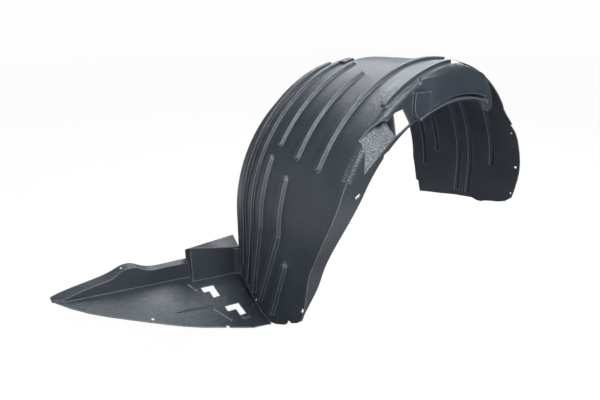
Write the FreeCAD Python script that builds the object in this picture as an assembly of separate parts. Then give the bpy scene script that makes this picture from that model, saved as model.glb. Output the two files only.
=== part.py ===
import FreeCAD, Part
import math
import os

V = FreeCAD.Vector

# Wheel arch liner, one moulded shell of polypropylene, left front.
# X runs to the rear, Y runs inboard, Z is up, all in millimetres.
# The shape is drawn about the wheel's axle and moved to its own origin at the end.

WALL = 2.5

# Tread: the shell that arches over the tyre.
TREAD_RADIUS = 405.0
TREAD_CENTRE_Z = 27.0
TREAD_INBOARD_Y = 300.0
LEG_FOOT_Z = -300.0

# Inboard shoulder: the tread draws in a little towards the strut side.
SHOULDER_RADIUS = 384.0
SHOULDER_CENTRE_Z = 10.0
SHOULDER_Y = 436.0

# Outboard side wall and its lip, which follows the wing's edge.
LIP_RADIUS = 353.0
LIP_CENTRE_Z = -8.0
EDGE_ROUND = 20.0
ROUND_START = 26.0
ROUND_END = 110.0
BEAD_WIDTH = 4.0
BEAD_DEPTH = 14.0
BEAD_START = 64.0
BEAD_END = 107.0

# How the lip falls away down the front leg, as (x, z).
LIP_REACH_Y = 265.0
LIP_LINE = [
    (-361.0, LIP_CENTRE_Z),
    (-361.5, -28.0),
    (-363.5, -50.0),
    (-367.0, -68.0),
    (-372.5, -85.0),
    (-380.5, -103.0),
    (-391.0, -124.0),
    (-400.0, -150.0),
]

# Where the outboard wall stands at each height on the front leg, as (z, y).
WALL_LINE = [
    (-187.0, 112.0),
    (-160.0, 99.0),
    (-133.0, 90.5),
    (-105.0, 85.5),
    (-80.0, 81.5),
    (-55.0, 77.0),
    (-29.0, 70.0),
    (-10.0, 62.0),
    (13.0, 51.0),
    (45.0, 36.0),
    (76.0, 22.5),
    (104.0, 12.0),
    (132.0, 4.3),
    (160.0, 0.0),
]

# Ribs: hollow beads pressed outwards, with tapered sides and round ends.
RIB_HEIGHT = 8.0
RIB_BASE = 22.0
RIB_CROWN = 13.0
ROOT_SUNK = 7.0
END_SUNK = 0.7
END_LOWER = 0.4

# Crown ribs as y, first angle and last angle above the front horizontal.
CROWN_RIB_A = (20.0, 53.0, 84.5)
CROWN_RIB_B = (99.0, 27.0, 96.0)
CROWN_RIB_C = (182.0, 28.5, 67.0)
CROWN_RIB_D = (262.0, 31.0, 74.0)

# Rear ribs as y, first angle, and how far down the leg they run.
REAR_RIB_A = (386.0, 143.0, 40.0)
REAR_RIB_B = (337.0, 138.0, 98.0)
REAR_RIB_C = (252.0, 128.0, -30.0)
REAR_RIB_D = (208.0, 132.0, -30.0)
REAR_RIB_E = (128.0, 130.0, 88.0)

# Front leg ribs as top (y, angle), then foot (y, z).
LEG_RIB_A = (378.0, 76.0, 388.0, -130.0)
LEG_RIB_B = (324.0, 75.0, 355.0, -165.0)
LEG_RIB_C = (277.0, 25.0, 324.0, -188.0)
LEG_RIB_D = (197.0, 20.0, 291.0, -200.0)
LEG_RIB_E_TOP = (171.0, -45.0)
LEG_RIB_E_FOOT = (232.0, -212.0)

# Raised blocks on the crown, each y low, y high, first angle, last angle, height.
CROWN_PADS = [
    (292.0, 318.0, 74.0, 78.5, 7.0),
    (96.0, 118.0, 103.0, 106.5, 7.0),
]



# Outline of the front leg's foot, as (y, z), from its outboard corner.
FOOT_LINE = [
    (60.0, -172.0),
    (104.0, -172.0),
    (119.0, -185.0),
    (144.0, -199.0),
    (156.0, -196.0),
    (166.0, -214.0),
    (178.0, -222.0),
    (215.0, -240.0),
]
PAN_LEG_Y = 246.0

# Outline of the rear leg, as (y, z): outboard edge down to the foot.
REAR_UPPER_EDGE = [(62.0, 301.0), (63.0, 276.0), (56.0, 255.0), (49.0, 238.0)]
REAR_LOWER_EDGE = [
    (55.0, 236.0),
    (44.0, 215.0),
    (37.0, 173.0),
    (33.0, 125.0),
    (33.0, 85.0),
    (37.0, 50.0),
    (41.0, 25.0),
    (45.0, -2.0),
    (67.0, -23.0),
    (100.0, -33.0),
    (137.0, -41.0),
]
REAR_FOOT = [
    (151.0, -47.0),
    (166.0, -48.0),
    (187.0, -43.0),
    (255.0, -51.0),
    (309.0, -61.0),
    (357.0, -66.5),
    (398.0, -72.3),
    (408.5, -32.6),
    (417.0, -30.5),
    (SHOULDER_Y + 1.0, 60.0),
]

# Access pocket in the side wall, ahead of the crown, corners as (x, z).
POCKET_START = 33.0
POCKET_END = 52.0
POCKET_DEPTH = 46.0
POCKET_LOW_LEFT = (-315.0, 212.0)
POCKET_LOW_MIDDLE = (-272.0, 246.0)
POCKET_LOW_RIGHT = (-225.0, 281.0)
WINDOW_RIGHT_TOP = (-207.0, 340.0)
WINDOW_RIGHT_LOW = (-180.0, 305.0)
SCOOP_DEPTH = 20.0

# Boss that hangs beside the drop wall.
BOSS_CENTRE = (-151.0, 341.0)
BOSS_WIDTH = 52.0
BOSS_HEIGHT = 32.0
BOSS_STEP = 8.0

# Tab behind the drop wall, corners as (x, z).
TAB_Y = 8.0
TAB_OUTLINE = [
    (84.0, 384.0),
    (116.0, 380.0),
    (138.0, 350.0),
    (150.0, 326.0),
    (149.0, 308.0),
    (133.0, 304.0),
    (116.0, 310.0),
    (102.0, 334.0),
]

# Drop wall over the crown, with its closed rear end.
DROP_END_X = 107.0
DROP_END_RISE = 0.29
DROP_END_LINE = [
    (-60.0, 441.0),
    (-23.0, 430.0),
    (26.0, 417.0),
    (61.0, 407.0),
    (76.0, 399.0),
    (84.0, 385.0),
    (DROP_END_X, 325.0),
    (DROP_END_X, -330.0),
]
REAR_EDGE_Y = 62.0
BULGE_STEP = 9.0
BULGE_START = -153.0
BULGE_FULL = -106.0

# Pan: the splash shield under the bumper, a plane that rises ahead and inboard.
PAN_HINGE_X = -405.0
PAN_HINGE_Y = 417.0
PAN_HINGE_Z = -187.0
PAN_SLOPE_Y = 0.36
PAN_SLOPE_X = -0.12
PAN_TIP_X = -884.0
PAN_WALL_Y = 455.0
BOX_WALL_Y = 434.0
BOX_LEFT_X = -536.0
BOX_TOP_LEFT_Z = -62.0
BOX_TOP_RIGHT_Z = -102.0
BOX_BACK_Y = 471.0
BOX_BACK_LEFT_Z = -80.0
BOX_BACK_RIGHT_Z = -75.0
RIM_REACH = 16.0
CORNER_RADIUS = 24.0

# The floor's outboard edge in plan, from the leg to the tip, as (x, y).
PAN_EDGE = [
    (-414.0, 240.0),
    (-460.0, 244.0),
    (-517.0, 263.0),
    (-589.0, 287.0),
    (-676.0, 327.0),
    (-758.0, 370.0),
    (-835.0, 417.0),
    (-868.0, 446.0),
    (PAN_TIP_X, 462.0),
]

# The rim's inner and outer lines along the pan's inboard wall, as (x, z).
PAN_RIM_INNER = [
    (-858.0, -114.0),
    (-822.0, -106.0),
    (-773.0, -100.0),
    (-735.0, -92.0),
    (-719.0, -82.0),
    (-701.0, -79.5),
    (-680.0, -83.0),
    (-653.0, -99.5),
    (-618.0, -105.0),
    (-575.0, -109.0),
    (-536.0, -113.0),
]
PAN_RIM_OUTER = [
    (-886.0, -105.0),
    (-816.0, -93.0),
    (-767.0, -87.0),
    (-736.0, -79.5),
    (-715.0, -72.5),
    (-690.0, -74.0),
    (-665.0, -88.0),
    (-639.0, -98.0),
    (-611.0, -102.0),
    (-577.0, -104.0),
    (-536.0, -107.0),
]

# Openings in the floor as head, stem and pad, each x low, x high, y low, y high.
PAN_SLOT_ONE = ((-526.0, -488.0, 389.0, 408.0), (-509.0, -488.0, 365.0, 390.0), (-503.0, -480.0, 352.0, 362.0))
PAN_SLOT_TWO = ((-495.0, -452.0, 311.0, 330.0), (-470.0, -451.0, 289.0, 312.0), (-468.0, -446.0, 275.0, 286.0))
PAN_PAD_HEIGHT = 4.0
WEDGE_DEPTH = 5.0
WEDGE_OUTER = [(-640.0, 345.0), (-590.0, 351.0), (-518.0, 347.0), (-522.0, 328.0), (-560.0, 329.0)]
WEDGE_INNER = [(-634.0, 345.0), (-590.0, 348.5), (-521.0, 344.0), (-524.5, 330.5), (-560.0, 331.5)]
PAN_BEADS = [(-527.0, 329.0, -500.0, 281.0), (-553.0, 428.0, -541.0, 399.0)]
PAN_BEAD_WIDTH = 5.0
PAN_NOTCH = [(-528.0, 240.0), (-514.0, 240.0), (-517.0, 269.0), (-524.0, 271.0)]

# Places of the holes and slots.
TAB_HOLE = (127.0, 329.0)
REAR_HOLE_ANGLE = 170.0
REAR_HOLE_Y = 46.0
REAR_HIGH_HOLE = (358.0, 56.0, 207.0)
REAR_LOW_HOLE = (403.0, 52.0, 9.0)
PAN_HOLE = (-687.0, 345.0)
RIM_HOLE = (-716.0, 462.0, -76.0)
FLANGE_SLOT = (-331.0, 0.0, 166.0)
FOOT_SLOT = (-404.0, 98.0, -139.0)
FOLD_SLOTS = [(412.0, -176.0), (366.0, -198.0), (316.0, -215.0)]
LIP_NOTCH = [(-262.0, 225.0), (-257.0, 246.0), (-246.0, 252.0), (-236.0, 254.0), (-228.0, 245.0), (-232.0, 225.0)]

# Fixings.
HOLE_DIAMETER = 8.0
SMALL_HOLE_DIAMETER = 5.0
SLOT_LENGTH = 15.0
SLOT_WIDTH = 6.5

os.makedirs("parts", exist_ok=True)


def on_tread(angle, radius, y=0.0, centre_z=TREAD_CENTRE_Z):
    """A point on the arch at an angle above the front horizontal."""
    turn = math.radians(angle)
    return V(-radius * math.cos(turn), y, centre_z + radius * math.sin(turn))


def face_of(points):
    return Part.Face(Part.makePolygon(points + [points[0]]))


def slab_xz(points, y_low, y_high):
    """An upright plate from an outline in X and Z."""
    corners = [V(x, y_low, z) for x, z in points]
    return face_of(corners).extrude(V(0, y_high - y_low, 0))


def arch_wire(radius, centre_z, y, foot_z):
    """The side view of the tread, closed along its foot."""
    top = V(0, y, centre_z + radius)
    front = V(-radius, y, centre_z)
    rear = V(radius, y, centre_z)
    front_foot = V(-radius, y, foot_z)
    rear_foot = V(radius, y, foot_z)
    return Part.Wire([
        Part.makeLine(front_foot, front),
        Part.Arc(front, top, rear).toShape(),
        Part.makeLine(rear, rear_foot),
        Part.makeLine(rear_foot, front_foot),
    ])


def arch_prism(radius, centre_z, y_low, y_high, foot_z=LEG_FOOT_Z):
    wire = arch_wire(radius, centre_z, y_low, foot_z)
    return Part.Face(wire).extrude(V(0, y_high - y_low, 0))


# Front wall line: everything outboard of it is cleared from the arch.

def wall_cutter(shift):
    """The space outboard of the wall line, moved inboard by shift."""
    points = [V(-460, y + shift, z) for z, y in WALL_LINE]
    first = points[0]
    last = points[-1]
    curve = Part.BSplineCurve()
    curve.interpolate(points)
    corners = [last, V(-460, last.y, 600), V(-460, -90, 600), V(-460, -90, -330)]
    corners += [V(-460, first.y + 70, -330), first]
    edges = [curve.toShape()]
    edges += [Part.makeLine(a, b) for a, b in zip(corners[:-1], corners[1:])]
    front = Part.Face(Part.Wire(edges)).extrude(V(460, 0, 0))
    rear = Part.makeBox(460, last.y + 90, 930, V(0, -90, -330))
    return front.fuse(rear)


def ring(points, angle, sweep):
    """A form turned about the arch's axis, from an outline in (y, radius)."""
    corners = [on_tread(angle, radius, y) for y, radius in points]
    turned = face_of(corners)
    return turned.revolve(V(0, 0, TREAD_CENTRE_Z), V(0, 1, 0), sweep)


def edge_ring(radius, y, round_radius):
    """The corner that is taken off the arch's outboard edge."""
    corner = on_tread(ROUND_START, radius, y)
    along = on_tread(ROUND_START, radius, y + round_radius)
    below = on_tread(ROUND_START, radius - round_radius, y)
    lean = round_radius * (1 - math.sqrt(0.5))
    middle = on_tread(ROUND_START, radius - lean, y + lean)
    beyond = [on_tread(ROUND_START, radius + 5, y + round_radius)]
    beyond += [on_tread(ROUND_START, radius + 5, y - 5)]
    beyond += [on_tread(ROUND_START, radius - round_radius, y - 5)]
    edges = [Part.Arc(along, middle, below).toShape()]
    edges += [Part.makeLine(below, beyond[2]), Part.makeLine(beyond[2], beyond[1])]
    edges += [Part.makeLine(beyond[1], beyond[0]), Part.makeLine(beyond[0], along)]
    section = Part.Face(Part.Wire(edges))
    sweep = ROUND_END - ROUND_START
    return section.revolve(V(0, 0, TREAD_CENTRE_Z), V(0, 1, 0), sweep)


def shoulder(inset, y_end):
    """The tread's inboard band, drawn in towards the strut side."""
    big = arch_wire(TREAD_RADIUS - inset, TREAD_CENTRE_Z, TREAD_INBOARD_Y, LEG_FOOT_Z)
    small = arch_wire(SHOULDER_RADIUS - inset, SHOULDER_CENTRE_Z, SHOULDER_Y, LEG_FOOT_Z)
    band = Part.makeLoft([big, small], True, True)
    if y_end > SHOULDER_Y:
        rest = SHOULDER_RADIUS - inset
        band = band.fuse(arch_prism(rest, SHOULDER_CENTRE_Z, SHOULDER_Y, y_end))
    return band


def drop_end(reach, inset):
    """The space above and behind the drop wall, rising as it goes inboard."""
    start = -90.0
    rise = DROP_END_RISE * start
    behind = [(x - 0.6 * inset, z - 0.8 * inset + rise) for x, z in DROP_END_LINE]
    behind += [(reach, -330.0 + rise), (reach, 560.0), (behind[0][0], 560.0)]
    corners = [V(x, start, z) for x, z in behind]
    depth = REAR_EDGE_Y + inset - start
    return face_of(corners).extrude(V(0, depth, depth * DROP_END_RISE))


def arch_volume(inset):
    """Everything under the tread's skin, drawn in by inset on each side."""
    radius = TREAD_RADIUS - inset
    body = arch_prism(radius, TREAD_CENTRE_Z, -60, TREAD_INBOARD_Y)
    body = body.cut(wall_cutter(inset))
    body = body.cut(edge_ring(radius, inset, EDGE_ROUND - inset))
    y_end = SHOULDER_Y + (20 if inset else 0)
    body = body.fuse(shoulder(inset, y_end))
    # The crown's drop wall ends over the rear of the wheel.
    body = body.cut(drop_end(DROP_END_X + 1.5, inset))
    if inset:
        open_side = arch_prism(radius, TREAD_CENTRE_Z, 0, REAR_EDGE_Y + inset)
        keep = Part.makeBox(460, 200, 900, V(DROP_END_X + 1, -10, -330))
        body = body.fuse(open_side.common(keep))
    return body


# Ribs that follow the arch, each a tapered bead with round ends.

def skin_radius(y):
    """The tread's radius at a distance inboard."""
    if y <= TREAD_INBOARD_Y:
        return TREAD_RADIUS
    part = (y - TREAD_INBOARD_Y) / (SHOULDER_Y - TREAD_INBOARD_Y)
    return TREAD_RADIUS + part * (SHOULDER_RADIUS - TREAD_RADIUS)


def bead_root(y):
    """How far a rib's foot is sunk, more on the shoulder and the round edge."""
    return 1.0 if EDGE_ROUND + RIB_BASE / 2 < y < TREAD_INBOARD_Y else ROOT_SUNK


def bead_ring(y, start, end, inset, joined=False):
    """A rib on the arch, or the hollow inside it where inset is the wall."""
    low = skin_radius(y) - inset - bead_root(y)
    high = skin_radius(y) + RIB_HEIGHT - inset
    half_base = RIB_BASE / 2 - inset
    half_crown = RIB_CROWN / 2 - inset * 0.7
    outline = [(y - half_base, low), (y - half_crown, high)]
    outline += [(y + half_crown, high), (y + half_base, low)]
    pieces = [ring(outline, start, end - start)]
    for angle in (start, end):
        if inset or joined and angle in (0.0, 180.0):
            continue
        base = on_tread(angle, low, y)
        out = on_tread(angle, 1.0, 0, 0)
        pieces.append(bead_end(base, out, V(0, 1, 0), inset, high - low))
    return pieces


def bead_end(base, direction, across, inset, height):
    """The eight-sided tapered end of a rib, a hair lower than its crown."""
    half_base = RIB_BASE / 2 - inset
    half_crown = RIB_CROWN / 2 - inset * 0.7
    along = direction.cross(across)
    outlines = []
    for lift, half in ((-END_SUNK, half_base), (height - END_LOWER, half_crown)):
        points = []
        for step in range(9):
            turn = math.radians(45 * step + 22.5)
            side = across * (half * math.cos(turn)) + along * (half * math.sin(turn))
            points.append(base + direction * lift + side)
        outlines.append(Part.makePolygon(points))
    return Part.makeLoft(outlines, True, True)


def bead_leg(top_y, top_z, foot_y, foot_z, inset, side):
    """A straight rib on a leg; side is -1 in front and 1 behind."""
    radius = skin_radius(top_y)
    root = bead_root(max(top_y, foot_y))
    height = RIB_HEIGHT + root
    low = side * (radius - inset - root)
    high = side * (radius + RIB_HEIGHT - inset)
    half_base = RIB_BASE / 2 - inset
    half_crown = RIB_CROWN / 2 - inset * 0.7
    along = V(0, foot_y - top_y, foot_z - top_z)
    across = V(0, -along.z, along.y)
    across.normalize()
    top = V(0, top_y, top_z)
    corners = [
        top + V(low, 0, 0) - across * half_base,
        top + V(high, 0, 0) - across * half_crown,
        top + V(high, 0, 0) + across * half_crown,
        top + V(low, 0, 0) + across * half_base,
    ]
    body = face_of(corners).extrude(along)
    out = V(side, 0, 0)
    if inset and top_y == foot_y:
        return [body]
    return [
        body,
        bead_end(V(low, top_y, top_z), out, across, inset, height),
        bead_end(V(low, foot_y, foot_z), out, across, inset, height),
    ]


def all_ribs(inset):
    found = []
    for y, start, end in (CROWN_RIB_A, CROWN_RIB_B, CROWN_RIB_C, CROWN_RIB_D):
        found += bead_ring(y, start, end, inset)
    rears = (REAR_RIB_A, REAR_RIB_B, REAR_RIB_C, REAR_RIB_D, REAR_RIB_E)
    for y, start, foot_z in rears:
        if foot_z < TREAD_CENTRE_Z:
            found += bead_ring(y, start, 180.0, inset, True)
            found += bead_leg(y, TREAD_CENTRE_Z, y, foot_z, inset, 1)
        else:
            rise = (foot_z - TREAD_CENTRE_Z) / TREAD_RADIUS
            end = 180.0 - math.degrees(math.asin(rise))
            found += bead_ring(y, start, end, inset)
    for y, angle, foot_y, foot_z in (LEG_RIB_A, LEG_RIB_B, LEG_RIB_C, LEG_RIB_D):
        found += bead_ring(y, 0.0, angle, inset, True)
        found += bead_leg(y, TREAD_CENTRE_Z, foot_y, foot_z, inset, -1)
    found += bead_leg(*LEG_RIB_E_TOP, *LEG_RIB_E_FOOT, inset, -1)
    return found


# Drop wall: the crown's side wall stands proud and is reached by a slanted step.

def bulge(inset):
    inside = LIP_RADIUS - 22.0
    turn_y = EDGE_ROUND - BULGE_STEP
    turn_radius = TREAD_RADIUS - EDGE_ROUND
    outline = [(turn_y - EDGE_ROUND + inset, inside)]
    for angle in (180, 157, 135, 112, 90):
        part = math.radians(angle)
        reach = EDGE_ROUND - inset
        outline.append((turn_y + reach * math.cos(part), turn_radius + reach * math.sin(part)))
    outline += [(EDGE_ROUND + 4.0, TREAD_RADIUS - inset), (EDGE_ROUND + 4.0, inside)]
    side = ring(outline, 60.0, 46.0)
    plan = [
        V(BULGE_START + inset, inset + 0.5, 250),
        V(BULGE_FULL + inset, inset - BULGE_STEP, 250),
        V(BULGE_FULL + inset, -30, 250),
        V(140, -30, 250),
        V(140, 60, 250),
        V(BULGE_START + inset, 60, 250),
    ]
    side = side.common(face_of(plan).extrude(V(0, 0, 220)))
    return side.cut(drop_end(200.0, inset))


def lip_opening():
    """The open mouth of the arch, bounded by the lip."""
    top = V(0, -80, LIP_CENTRE_Z + LIP_RADIUS)
    rear = V(LIP_RADIUS, -80, LIP_CENTRE_Z)
    points = [V(x, -80, z) for x, z in LIP_LINE]
    front = points[0]
    curve = Part.BSplineCurve()
    curve.interpolate(points)
    last = points[-1]
    edges = [Part.Arc(front, top, rear).toShape(), curve.toShape()]
    edges.append(Part.makeLine(last, V(last.x, -80, -330)))
    edges.append(Part.makeLine(V(last.x, -80, -330), V(LIP_RADIUS, -80, -330)))
    edges.append(Part.makeLine(V(LIP_RADIUS, -80, -330), rear))
    wire = Part.Wire(Part.__sortEdges__(edges))
    return Part.Face(wire).extrude(V(0, LIP_REACH_Y, 0))


def lip_bead():
    """The rolled bead along the lip."""
    points = [(-BEAD_DEPTH, LIP_RADIUS), (-BEAD_DEPTH, LIP_RADIUS + BEAD_WIDTH)]
    points += [(1.0, LIP_RADIUS + BEAD_WIDTH), (1.0, LIP_RADIUS)]
    corners = [on_tread(BEAD_START, radius, y, LIP_CENTRE_Z) for y, radius in points]
    turned = face_of(corners)
    sweep = BEAD_END - BEAD_START
    return turned.revolve(V(0, 0, LIP_CENTRE_Z), V(0, 1, 0), sweep)


def crown_pad(pad, inset):
    """A small raised block on the crown."""
    y_low, y_high, start, end, height = pad
    turn = math.degrees(inset / TREAD_RADIUS)
    low = skin_radius(y_high) - inset - 2.0
    high = skin_radius(y_low) - inset + height
    outline = [(y_low + inset, low), (y_low + inset, high)]
    outline += [(y_high - inset, high), (y_high - inset, low)]
    return ring(outline, start + turn, end - start - 2 * turn)


def full_form(inset):
    """The arch with its ribs, pads and drop wall, drawn in by inset."""
    form = arch_volume(inset).fuse(bulge(inset))
    for piece in all_ribs(inset):
        form = form.fuse(piece)
    for pad in CROWN_PADS:
        form = form.fuse(crown_pad(pad, inset))
    return form


shell = full_form(0.0).cut(full_form(WALL)).cut(lip_opening())


def slab_yz(points, x_low, x_high):
    """A plate that faces along X, from an outline in Y and Z."""
    corners = [V(x_low, y, z) for y, z in points]
    return face_of(corners).extrude(V(x_high - x_low, 0, 0))


def curve_points(points, steps):
    """Points along a smooth curve through those given, as pairs."""
    curve = Part.BSplineCurve()
    curve.interpolate([V(a, b, 0) for a, b in points])
    found = []
    for index in range(steps + 1):
        part = index / steps
        at = curve.FirstParameter + part * (curve.LastParameter - curve.FirstParameter)
        place = curve.value(at)
        found.append((place.x, place.y))
    return found


# Foot of the front leg, cut to its outline in Y and Z.

def pan_height(x, y):
    rise = PAN_SLOPE_Y * (y - PAN_HINGE_Y) + PAN_SLOPE_X * (x - PAN_HINGE_X)
    return PAN_HINGE_Z + rise


foot = list(FOOT_LINE)
foot.append((PAN_LEG_Y, pan_height(PAN_HINGE_X, PAN_LEG_Y) - 1.0))
foot.append((470.0, pan_height(-SHOULDER_RADIUS, 470.0) - 1.0))
foot += [(470.0, -420.0), (FOOT_LINE[0][0], -420.0)]
shell = shell.cut(slab_yz(foot, -460, -150))

# Rear leg, cut to its outline in Y and Z.
upper = curve_points(REAR_UPPER_EDGE, 4)
lower = curve_points(REAR_LOWER_EDGE, 14)
keep = [(REAR_EDGE_Y, 500.0)] + upper + lower + list(REAR_FOOT)
keep += [(SHOULDER_Y + 1, 500.0)]
block = Part.makeBox(460, 700, 1000, V(DROP_END_X + 1, -150, -450))
shell = shell.cut(block.cut(slab_yz(keep, 0, 600)))

# Access pocket: a window in the side wall with a shelf that leads up under the tread.
reach = TREAD_RADIUS - EDGE_ROUND
window = [POCKET_LOW_LEFT, (POCKET_LOW_LEFT[0], 246.0)]
for angle in (37.5, 41.0, 45.0, 49.0, 53.0):
    point = on_tread(angle, reach)
    window.append((point.x, point.z))
window += [WINDOW_RIGHT_TOP, WINDOW_RIGHT_LOW, POCKET_LOW_RIGHT, POCKET_LOW_MIDDLE]
shell = shell.cut(slab_xz(window, -20, WALL + 0.4))
scoop = [
    V(POCKET_LOW_LEFT[0], -20, 200),
    V(POCKET_LOW_LEFT[0], SCOOP_DEPTH, 200),
    V(-300, SCOOP_DEPTH * 0.84, 200),
    V(-277, SCOOP_DEPTH * 0.4, 200),
    V(-245, 0, 200),
    V(-245, -20, 200),
]
scoop = face_of(scoop).extrude(V(0, 0, 180))
above_shelf = [POCKET_LOW_LEFT, POCKET_LOW_MIDDLE, POCKET_LOW_RIGHT]
above_shelf += [(POCKET_LOW_RIGHT[0], 390.0), (POCKET_LOW_LEFT[0] - 5, 390.0)]
shell = shell.cut(scoop.common(slab_xz(above_shelf, -25, 30)))

low_left = V(POCKET_LOW_LEFT[0], 0, POCKET_LOW_LEFT[1])
low_middle = V(POCKET_LOW_MIDDLE[0], 0, POCKET_LOW_MIDDLE[1])
low_right = V(POCKET_LOW_RIGHT[0], 0, POCKET_LOW_RIGHT[1])
under = TREAD_RADIUS - WALL * 0.5
high_left = on_tread(POCKET_START, under, POCKET_DEPTH)
high_middle = on_tread((POCKET_START + POCKET_END) / 2, under, POCKET_DEPTH)
high_right = on_tread(POCKET_END, under, POCKET_DEPTH)
near = Part.Arc(low_left, low_middle, low_right).toShape()
far = Part.Arc(high_left, high_middle, high_right).toShape()
shelf = Part.makeRuledSurface(near, far).extrude(V(WALL * 0.9, 0, -WALL * 0.9))


def cheek(low, angle, across):
    """A pocket's end wall, between its shelf and the tread."""
    rim_radius = under + min(across, 0.0) * 0.7
    edge = on_tread(angle, TREAD_RADIUS - EDGE_ROUND, 0.8)
    crest = on_tread(angle, rim_radius, EDGE_ROUND)
    high = on_tread(angle, rim_radius, POCKET_DEPTH)
    lap = V(1.5 if across < 0 else 0.0, 0, 0)
    sink = V(0, 0, -1.5)
    low, edge, crest, high = low + lap + sink, edge + lap, crest + lap, high + lap + sink
    across -= lap.x
    outer = face_of([low, edge, crest]).extrude(V(across, 0, 0))
    inner = face_of([low, crest, high]).extrude(V(across, 0, 0))
    return [outer, inner]


cheeks = cheek(low_right, POCKET_END, WALL)
cheeks += cheek(low_left, POCKET_START, -WALL)
shell = shell.fuse([shelf] + cheeks)

# Boss beside the drop wall, a hollow tongue that hangs to the lip.

def tongue(inset):
    half = BOSS_WIDTH / 2 - inset
    x, z = BOSS_CENTRE
    y = -BOSS_STEP + inset
    left = V(x - half, y, z)
    right = V(x + half, y, z)
    base = V(x, y, z - half)
    top = BOSS_HEIGHT
    edges = [
        Part.Arc(left, base, right).toShape(),
        Part.makeLine(right, right + V(0, 0, top)),
        Part.makeLine(right + V(0, 0, top), left + V(0, 0, top)),
        Part.makeLine(left + V(0, 0, top), left),
    ]
    return Part.Face(Part.Wire(edges)).extrude(V(0, BOSS_STEP + 1, 0))


shell = shell.fuse(tongue(0.0)).cut(tongue(WALL))

# Tab behind the drop wall, with the hole that fixes the crown.
tab = slab_xz(TAB_OUTLINE, TAB_Y, TAB_Y + WALL)
shell = shell.fuse(tab)

# Lip bead, clipped to the drop wall.
clip = Part.makeBox(400, 200, 400, V(-160, -BULGE_STEP, 200))
bead = lip_bead().common(clip)
shell = shell.fuse(bead)

# Pan: floor, inboard wall with its rim, and the box beside the leg.

def on_pan(x, y, lift=0.0):
    return V(x, y, pan_height(x, y) + lift)


def pan_prism(points, below, above):
    """A patch of the floor, from an outline in X and Y."""
    corners = [on_pan(x, y, -below) for x, y in points]
    return face_of(corners).extrude(V(0, 0, below + above))


outer_edge = curve_points(PAN_EDGE, 12)
inner_edge = [(PAN_TIP_X + 18, PAN_WALL_Y), (BOX_LEFT_X, PAN_WALL_Y)]
inner_edge += [(BOX_LEFT_X, BOX_WALL_Y + 1.0)]
inner_edge += [(-SHOULDER_RADIUS + WALL / 2, BOX_WALL_Y + 1.0)]
leg_inside = -TREAD_RADIUS + WALL / 2
shoulder_inside = -SHOULDER_RADIUS + WALL / 2
floor_plan = [(leg_inside, PAN_LEG_Y - 8)] + outer_edge + inner_edge
floor_plan += [(leg_inside, TREAD_INBOARD_Y)]
floor = pan_prism(floor_plan, WALL, 0.0)

wall_top = curve_points(PAN_RIM_INNER, 14)
wall = [(x, z - 1.0) for x, z in wall_top]
wall += [(BOX_LEFT_X, pan_height(BOX_LEFT_X, PAN_WALL_Y) - WALL)]
wall += [(-700.0, pan_height(-700.0, PAN_WALL_Y) - WALL)]
wall += [(PAN_TIP_X + 18, pan_height(PAN_TIP_X + 18, PAN_WALL_Y) - WALL)]
pan_wall = slab_xz(wall, PAN_WALL_Y - WALL, PAN_WALL_Y)

rim_low = Part.BSplineCurve()
rim_low.interpolate([V(x, PAN_WALL_Y - WALL, z) for x, z in PAN_RIM_INNER])
rim_high = Part.BSplineCurve()
rim_high.interpolate([V(x, PAN_WALL_Y + RIM_REACH, z) for x, z in PAN_RIM_OUTER])
rim = Part.makeRuledSurface(rim_low.toShape(), rim_high.toShape())
rim = rim.extrude(V(0, 0, -WALL * 1.35))

box_floor = pan_height(BOX_LEFT_X, BOX_WALL_Y) - WALL - 1.0
box_outline = [
    (BOX_LEFT_X, BOX_TOP_LEFT_Z),
    (shoulder_inside, BOX_TOP_RIGHT_Z),
    (shoulder_inside, pan_height(shoulder_inside, BOX_WALL_Y) - WALL - 1.0),
    (BOX_LEFT_X, box_floor),
]
box_wall = slab_xz(box_outline, BOX_WALL_Y, BOX_WALL_Y + WALL)
end_outline = [
    (BOX_WALL_Y - 0.3, BOX_TOP_LEFT_Z - 0.3),
    (BOX_WALL_Y - 0.3, box_floor - 0.5),
    (PAN_WALL_Y, box_floor + 5),
    (BOX_BACK_Y, PAN_RIM_OUTER[-1][1] - 6),
    (BOX_BACK_Y, BOX_BACK_LEFT_Z),
]
box_end = slab_yz(end_outline, BOX_LEFT_X - 0.4, BOX_LEFT_X + WALL)
front_line = Part.makeLine(
    V(BOX_LEFT_X - 0.2, BOX_WALL_Y + 0.4, BOX_TOP_LEFT_Z + 0.4),
    V(shoulder_inside, BOX_WALL_Y + 0.4, BOX_TOP_RIGHT_Z + 0.4),
)
back_line = Part.makeLine(
    V(BOX_LEFT_X - 0.2, BOX_BACK_Y, BOX_BACK_LEFT_Z + 0.4),
    V(shoulder_inside, BOX_BACK_Y, BOX_BACK_RIGHT_Z + 0.4),
)
ledge = Part.makeRuledSurface(front_line, back_line).extrude(V(0, 0, -WALL))

# The tip, where the rim comes down to the floor.
tip = face_of([
    V(PAN_RIM_INNER[0][0], PAN_WALL_Y - WALL, PAN_RIM_INNER[0][1]),
    V(PAN_RIM_OUTER[0][0], PAN_WALL_Y + RIM_REACH, PAN_RIM_OUTER[0][1]),
    V(PAN_TIP_X, PAN_EDGE[-1][1] - 2, PAN_RIM_OUTER[0][1] - 5),
]).extrude(V(0, 0, -7))

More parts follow.
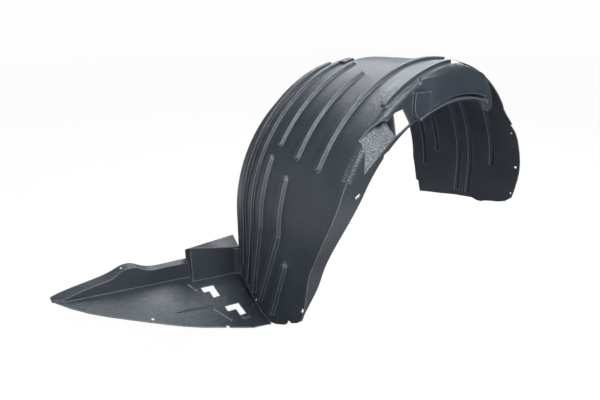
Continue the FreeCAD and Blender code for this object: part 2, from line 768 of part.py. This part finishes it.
# The hollow corner between the box and the leg.
centre = V(shoulder_inside - 2 - CORNER_RADIUS, BOX_WALL_Y - CORNER_RADIUS, -230)
corner = Part.makeCylinder(CORNER_RADIUS + WALL, 230 + BOX_TOP_RIGHT_Z, centre)
corner = corner.cut(Part.makeCylinder(CORNER_RADIUS, 300, centre))
corner = corner.common(Part.makeBox(60, 60, 300, centre))
x_low, x_high = centre.x - 5, centre.x + 50
y_low, y_high = centre.y - 5, centre.y + 50
under_floor = [(x_low, y_low), (x_high, y_low), (x_high, y_high), (x_low, y_high)]
corner = corner.cut(pan_prism(under_floor, 80, -1.0))
shell = shell.fuse([floor, pan_wall, rim, box_wall, box_end, ledge, tip, corner])

# T-shaped openings in the floor, each with a small pad at its foot.
for head, stem, pad in (PAN_SLOT_ONE, PAN_SLOT_TWO):
    for x0, x1, y0, y1 in (head, stem):
        patch = [(x0, y0), (x1, y0), (x1, y1), (x0, y1)]
        shell = shell.cut(pan_prism(patch, 12, 12))
    x0, x1, y0, y1 = pad
    patch = [(x0, y0), (x1, y0), (x1, y1), (x0, y1)]
    shell = shell.fuse(pan_prism(patch, 1.0, PAN_PAD_HEIGHT))

# Wedge-shaped channel pressed down into the floor.
shell = shell.fuse(pan_prism(WEDGE_OUTER, WEDGE_DEPTH + WALL, -0.5))
shell = shell.cut(pan_prism(WEDGE_INNER, WEDGE_DEPTH, 20))

# Stiffening beads on the floor.
for x0, y0, x1, y1 in PAN_BEADS:
    run = V(x1 - x0, y1 - y0, 0)
    side = V(-run.y, run.x, 0)
    side.normalize()
    side = side * (PAN_BEAD_WIDTH / 2)
    patch = [
        (x0 + side.x, y0 + side.y),
        (x1 + side.x, y1 + side.y),
        (x1 - side.x, y1 - side.y),
        (x0 - side.x, y0 - side.y),
    ]
    shell = shell.fuse(pan_prism(patch, 1.0, 2.5))


def drill(place, direction, diameter, depth=60.0):
    """A round hole through whatever skin is at the place."""
    axis = V(*direction)
    axis.normalize()
    start = V(*place) - axis * (depth / 2)
    return Part.makeCylinder(diameter / 2, depth, start, axis)


def slot(place, direction, along, length=SLOT_LENGTH, width=SLOT_WIDTH, depth=60.0):
    """A round-ended slot through the skin."""
    axis = V(*direction)
    axis.normalize()
    run = V(*along)
    run = run - axis * run.dot(axis)
    run.normalize()
    half = (length - width) / 2
    across = axis.cross(run)
    centre = V(*place) - axis * (depth / 2)
    ends = [centre - run * half, centre + run * half]
    edges = [
        Part.Arc(ends[1] - across * (width / 2), ends[1] + run * (width / 2),
                 ends[1] + across * (width / 2)).toShape(),
        Part.makeLine(ends[1] + across * (width / 2), ends[0] + across * (width / 2)),
        Part.Arc(ends[0] + across * (width / 2), ends[0] - run * (width / 2),
                 ends[0] - across * (width / 2)).toShape(),
        Part.makeLine(ends[0] - across * (width / 2), ends[1] - across * (width / 2)),
    ]
    return Part.Face(Part.Wire(edges)).extrude(axis * depth)


pan_normal = V(-PAN_SLOPE_X, -PAN_SLOPE_Y, 1.0)
rear_normal = on_tread(REAR_HOLE_ANGLE, 1.0, 0, 0)
rear_place = on_tread(REAR_HOLE_ANGLE, TREAD_RADIUS - WALL / 2, REAR_HOLE_Y)
cuts = [
    drill((TAB_HOLE[0], TAB_Y, TAB_HOLE[1]), (0, 1, 0), HOLE_DIAMETER, 20.0),
    drill(rear_place, rear_normal, HOLE_DIAMETER),
    drill(REAR_HIGH_HOLE, (0.87, 0, 0.5), SMALL_HOLE_DIAMETER, 40.0),
    drill(REAR_LOW_HOLE, (1, 0, 0), SMALL_HOLE_DIAMETER),
    drill((*PAN_HOLE, pan_height(*PAN_HOLE) - WALL / 2), pan_normal, HOLE_DIAMETER),
    drill(RIM_HOLE, (0, -0.7, 0.7), SMALL_HOLE_DIAMETER, 24.0),
    slot(FLANGE_SLOT, (0, 1, 0), (0.9, 0, 0.5), depth=30.0),
    slot(FOOT_SLOT, (1, 0, 0), (0, -0.4, 0.9), depth=30.0),
]
for y, z in FOLD_SLOTS:
    place = (PAN_HINGE_X, y, z)
    cuts.append(slot(place, (1, 0, 0), (0, -0.5, 0.86), 14.0, 5.0, 24.0))
notch = [V(x, -30, z) for x, z in LIP_NOTCH]
cuts.append(face_of(notch).extrude(V(0, 60, 0)))
edge_notch = [(x, y) for x, y in PAN_NOTCH]
cuts.append(pan_prism(edge_notch, 20, 20))
for piece in cuts:
    shell = shell.cut(piece)

# The origin goes to the outboard face of the crown tab's hole.
shell.translate(V(-TAB_HOLE[0], -TAB_Y, -TAB_HOLE[1]))
shell.exportStep("parts/arch_liner.step")
print("solids", len(shell.Solids), "faces", len(shell.Faces), "volume", round(shell.Volume))
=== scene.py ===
import math

import bmesh
import bpy
from mathutils import Matrix, Vector


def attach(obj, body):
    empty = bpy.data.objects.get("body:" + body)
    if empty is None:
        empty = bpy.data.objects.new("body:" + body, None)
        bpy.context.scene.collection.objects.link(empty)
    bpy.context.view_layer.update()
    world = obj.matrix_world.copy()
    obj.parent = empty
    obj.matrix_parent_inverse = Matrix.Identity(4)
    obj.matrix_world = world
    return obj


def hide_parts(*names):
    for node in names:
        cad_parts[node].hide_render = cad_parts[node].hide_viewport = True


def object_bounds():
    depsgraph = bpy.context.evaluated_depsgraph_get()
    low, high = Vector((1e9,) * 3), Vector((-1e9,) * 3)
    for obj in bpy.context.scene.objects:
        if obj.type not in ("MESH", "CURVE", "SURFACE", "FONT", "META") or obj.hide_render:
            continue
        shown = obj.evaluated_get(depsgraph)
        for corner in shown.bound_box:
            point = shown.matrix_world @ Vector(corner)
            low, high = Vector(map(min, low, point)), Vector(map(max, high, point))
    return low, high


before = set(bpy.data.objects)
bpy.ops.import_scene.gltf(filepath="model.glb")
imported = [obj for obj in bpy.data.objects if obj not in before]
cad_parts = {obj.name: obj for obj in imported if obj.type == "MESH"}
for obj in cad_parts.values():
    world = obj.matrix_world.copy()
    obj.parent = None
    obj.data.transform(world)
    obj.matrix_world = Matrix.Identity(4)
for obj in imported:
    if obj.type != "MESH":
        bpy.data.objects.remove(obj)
cad_low, cad_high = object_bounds()

# Liner plastic: injection-moulded polypropylene, dark slate grey, semi-gloss.
# The mould's fine grain covers it. Its edges carry a painted highlight that makes them a lighter
# grey and a little glossier. Dust from storage dulls the skin in broad patches.


class Value:
    """A shader socket that writes Math nodes when it is used in a sum."""

    def __init__(self, maker, socket):
        self.maker = maker
        self.socket = socket

    def _math(self, operation, *terms):
        return self.maker.add("ShaderNodeMath", {"operation": operation}, *terms)

    def __add__(self, other):
        return self._math("ADD", self, other)

    def __radd__(self, other):
        return self._math("ADD", other, self)

    def __sub__(self, other):
        return self._math("SUBTRACT", self, other)

    def __rsub__(self, other):
        return self._math("SUBTRACT", other, self)

    def __mul__(self, other):
        return self._math("MULTIPLY", self, other)

    def __rmul__(self, other):
        return self._math("MULTIPLY", other, self)

    def clamp(self, low, high):
        return self._math("MINIMUM", self._math("MAXIMUM", self, low), high)


class Finish:
    """One material; add puts in any node from its settings and its socket values."""

    def __init__(self, name, colour):
        self.material = bpy.data.materials.new(name)
        self.material.use_nodes = True
        self.material.diffuse_color = (*colour, 1.0)
        self.tree = self.material.node_tree
        self.tree.nodes.clear()

    def add(self, kind, settings, *sockets, out=0, numbered=None, **named):
        node = self.tree.nodes.new(kind)
        for key, value in settings.items():
            setattr(node, key, value)
        given = dict(enumerate(sockets))
        given.update(numbered or {})
        given.update({key.replace("_", " "): value for key, value in named.items()})
        for key, value in given.items():
            if isinstance(value, Value):
                self.tree.links.new(value.socket, node.inputs[key])
            else:
                node.inputs[key].default_value = value
        return Value(self, node.outputs[out]) if node.outputs else node

    def close(self, shader):
        self.add("ShaderNodeOutputMaterial", {}, shader)
        return self.material


PATCH_SCALE = 5.0
FLOW_SCALE = 38.0
WEAVE_SCALE = 95.0
PEBBLE_SCALE = 330.0
SPECK_SCALE = 900.0
EDGE_RADIUS = 0.0032
# pale grey of the painted highlight along the edges
EDGE_HIGHLIGHT_GREY = (0.22, 0.235, 0.26, 1.0)
MIX_FIRST, MIX_SECOND, MIX_RESULT = 6, 7, 2


def moulded_plastic(name, colour, roughness):
    finish = Finish(name, colour)
    add = finish.add
    noise = "ShaderNodeTexNoise"
    place = add("ShaderNodeTexCoord", {}, out=3)
    patches = add(noise, {}, Vector=place, Scale=PATCH_SCALE, Detail=4.0, Roughness=0.6)
    flow = add(noise, {}, Vector=place, Scale=FLOW_SCALE, Detail=3.0)
    specks = add(noise, {}, Vector=place, Scale=SPECK_SCALE, Detail=2.0)
    pebbles = add("ShaderNodeTexVoronoi", {"feature": "F1"}, Vector=place, Scale=PEBBLE_SCALE)
    weave = add(
        "ShaderNodeTexWave", {"wave_type": "BANDS", "bands_direction": "DIAGONAL"}, out=1,
        Vector=place, Scale=WEAVE_SCALE, Distortion=2.2, Detail=2.0, Detail_Scale=1.4,
    )

    dust = (patches * 1.9 - 0.55).clamp(0.0, 1.0)
    clean_tone = tuple(c * 0.86 for c in colour) + (1.0,)
    dusty_tone = tuple(min(1.0, c * 1.22 + 0.006) for c in colour) + (1.0,)
    tone = add(
        "ShaderNodeMix", {"data_type": "RGBA"}, dust, out=MIX_RESULT,
        numbered={MIX_FIRST: clean_tone, MIX_SECOND: dusty_tone},
    )

    flat = add("ShaderNodeNewGeometry", {}, out=1)
    rounded = add("ShaderNodeBevel", {"samples": 8}, Radius=EDGE_RADIUS)
    level = add("ShaderNodeVectorMath", {"operation": "DOT_PRODUCT"}, flat, rounded, out=1)
    # painted highlight: where the bevelled normal turns from the flat one, edges are lightened
    # toward a pale grey
    edge_highlight = ((1.0 - level) * 9.0 * (0.5 + patches)).clamp(0.0, 1.0)
    edge_highlighted_tone = add(
        "ShaderNodeMix", {"data_type": "RGBA"}, edge_highlight * 0.5, out=MIX_RESULT,
        numbered={MIX_FIRST: tone, MIX_SECOND: EDGE_HIGHLIGHT_GREY},
    )

    grain = pebbles * 0.8 + specks * 0.45 + weave * (dust * 1.3 + 0.15)
    ripple = add("ShaderNodeBump", {}, Strength=0.16, Distance=0.004, Height=flow, Normal=rounded)
    skin = add("ShaderNodeBump", {}, Strength=0.48, Distance=0.0009, Height=grain, Normal=ripple)
    dullness = (roughness + dust * 0.09 + specks * 0.08 - edge_highlight * 0.12).clamp(0.0, 1.0)
    return finish.close(add(
        "ShaderNodeBsdfPrincipled", {}, Base_Color=edge_highlighted_tone, Roughness=dullness, Normal=skin, IOR=1.5,
    ))


# Arch liner: one moulded shell that arches over the tyre, with a splash pan ahead.
# It is the CAD shell with its seams merged, smooth over its curves and crisp at
# its folds, as it comes out of the mould.
SHARP_ANGLE = math.radians(28)
SEAM_GAP = 0.00002
SEMI_GLOSS = 0.30
SLATE = (0.022, 0.027, 0.033)

shell = bmesh.new()
shell.from_mesh(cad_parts["arch_liner"].data)
bmesh.ops.remove_doubles(shell, verts=shell.verts, dist=SEAM_GAP)
bmesh.ops.dissolve_degenerate(shell, edges=shell.edges, dist=SEAM_GAP)
for face in shell.faces:
    face.smooth = True
for edge in shell.edges:
    if len(edge.link_faces) != 2 or edge.calc_face_angle(0.0) > SHARP_ANGLE:
        edge.smooth = False
liner_mesh = bpy.data.meshes.new("liner_shell")
shell.to_mesh(liner_mesh)
shell.free()
liner = bpy.data.objects.new("liner_shell", liner_mesh)
bpy.context.scene.collection.objects.link(liner)
slate_plastic = moulded_plastic("slate_plastic", SLATE, SEMI_GLOSS)
liner_mesh.materials.clear()
liner_mesh.materials.append(slate_plastic)
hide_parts("arch_liner")
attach(liner, "root")

# Floor: a plain pale sheet just under the liner's lowest corner.
# To the camera it is almost white, and it keeps a faint shadow. Mirror rays see painted light on
# it, at a strength of 1 at most: one pool under the liner's outboard side and one a long way
# behind. Right behind the liner they see a painted shadow, dark.
FLOOR_DROP = 0.002
FLOOR_REACH = 14.0
CAMERA_WHITE = 0.97

floor_mesh = bpy.data.meshes.new("floor")
height = cad_low.z - FLOOR_DROP
corners = [
    (side * FLOOR_REACH, depth * FLOOR_REACH, height)
    for side, depth in ((-1, -1), (1, -1), (1, 1), (-1, 1))
]
floor_mesh.from_pydata(corners, [], [(0, 1, 2, 3)])
floor = bpy.data.objects.new("floor", floor_mesh)
bpy.context.scene.collection.objects.link(floor)
paper = Finish("floor_paper", (0.9, 0.9, 0.9))
seen = paper.add("ShaderNodeLightPath", {}, out=0)
mirrored = Value(paper, seen.socket.node.outputs["Is Glossy Ray"])
spot = paper.add("ShaderNodeTexCoord", {}, out=3)
depth = paper.add("ShaderNodeSeparateXYZ", {}, spot, out=1)
along = Value(paper, depth.socket.node.outputs[0])
# painted light for mirror rays: a bright pool under the liner's outboard side and one a long way
# back, with painted shadow between them
painted_pool_close = (0.40 - depth * 2.8).clamp(0.0, 1.0) * (1.2 - along * 1.8).clamp(0.0, 1.0)
painted_pool_distant = (depth * 1.6 - 1.6).clamp(0.0, 1.0)
white_and_painted_light = (seen + mirrored * (painted_pool_close + painted_pool_distant + 0.02)).clamp(0.0, 1.0)
matt = paper.add("ShaderNodeBsdfDiffuse", {}, Color=(0.80, 0.80, 0.81, 1.0))
glow = paper.add("ShaderNodeEmission", {}, Color=(1.0, 1.0, 1.0, 1.0), Strength=white_and_painted_light)
share = (seen * CAMERA_WHITE + mirrored).clamp(0.0, 1.0)
floor_mesh.materials.append(paper.close(paper.add("ShaderNodeMixShader", {}, share, matt, glow)))

# Studio light: soft boxes above and behind, one high on the wheel side, a weak one
# ahead and one low at the left, in a dim room with a white backdrop.
LAMP_TINT = (0.93, 0.97, 1.0)
LAMPS = [
    ("rim_box", (2.0, 0.9, 0.75), (-0.3, 0.2, -0.1), 1.2, 0.8, 34.0),
    ("back_box", (0.8, 1.5, 1.95), (-0.4, 0.2, -0.1), 2.0, 1.2, 70.0),
    ("key_box", (-0.5, -1.75, 1.5), (-0.3, 0.1, -0.1), 1.2, 0.7, 100.0),
    ("front_box", (-2.9, 0.1, 0.45), (-0.6, 0.2, -0.2), 0.9, 0.9, 34.0),
    ("low_left_box", (-1.8, -2.0, -0.1), (-0.5, 0.0, -0.2), 1.0, 0.5, 12.0),
]
for name, place, aim, width, height, power in LAMPS:
    lamp = bpy.data.lights.new(name, "AREA")
    lamp.shape = "RECTANGLE"
    lamp.size = width
    lamp.size_y = height
    lamp.energy = power
    lamp.color = LAMP_TINT
    holder = bpy.data.objects.new(name, lamp)
    turn = (Vector(place) - Vector(aim)).to_track_quat("Z", "Y")
    holder.matrix_world = Matrix.Translation(place) @ turn.to_matrix().to_4x4()
    bpy.context.scene.collection.objects.link(holder)

# Room: dim, a little lighter above and behind; the camera sees it as white.
ROOM_TINT = (0.94, 0.97, 1.0, 1.0)
LIGHTER_SIDE = (0.40, 0.75, 0.53)
ROOM_DIM, ROOM_LIGHT = 0.04, 0.25
BACKDROP_WHITE = 0.985

world = bpy.data.worlds.new("studio")
bpy.context.scene.world = world
world.use_nodes = True
nodes, links = world.node_tree.nodes, world.node_tree.links
nodes.clear()
path = nodes.new("ShaderNodeLightPath")
sight = nodes.new("ShaderNodeTexCoord")
behind = nodes.new("ShaderNodeVectorMath")
behind.operation = "DOT_PRODUCT"
behind.inputs[1].default_value = LIGHTER_SIDE
links.new(sight.outputs["Generated"], behind.inputs[0])
fade = nodes.new("ShaderNodeMapRange")
fade.interpolation_type = "SMOOTHSTEP"
fade.inputs["From Min"].default_value = -0.35
fade.inputs["From Max"].default_value = 0.75
fade.inputs["To Min"].default_value = ROOM_DIM
fade.inputs["To Max"].default_value = ROOM_LIGHT
links.new(behind.outputs["Value"], fade.inputs[0])
room = nodes.new("ShaderNodeBackground")
room.inputs[0].default_value = ROOM_TINT
links.new(fade.outputs[0], room.inputs[1])
backdrop = nodes.new("ShaderNodeBackground")
backdrop.inputs[0].default_value = (1.0, 1.0, 1.0, 1.0)
backdrop.inputs[1].default_value = BACKDROP_WHITE
choose = nodes.new("ShaderNodeMixShader")
links.new(path.outputs["Is Camera Ray"], choose.inputs[0])
links.new(room.outputs[0], choose.inputs[1])
links.new(backdrop.outputs[0], choose.inputs[2])
sky = nodes.new("ShaderNodeOutputWorld")
links.new(choose.outputs[0], sky.inputs[0])

# Camera: at the photograph's place, low and to the left of the axle's line.
CAMERA_PLACE = (-1.125, -0.685, 0.167)
CAMERA_TURN = math.radians(-37.1)
CAMERA_DIP = math.radians(19.7)
LENS = 28.08
SENSOR_WIDTH = 36.0

camera_data = bpy.data.cameras.new("photo_camera")
camera_data.lens = LENS
camera_data.sensor_width = SENSOR_WIDTH
camera_data.clip_start = 0.01
camera = bpy.data.objects.new("photo_camera", camera_data)
back = Vector((
    math.sin(CAMERA_TURN) * math.cos(CAMERA_DIP),
    -math.cos(CAMERA_TURN) * math.cos(CAMERA_DIP),
    math.sin(CAMERA_DIP),
))
aim = back.to_track_quat("Z", "Y")
camera.matrix_world = Matrix.Translation(CAMERA_PLACE) @ aim.to_matrix().to_4x4()
bpy.context.scene.collection.objects.link(camera)
bpy.context.scene.camera = camera
bpy.context.scene.view_settings.view_transform = "Standard"
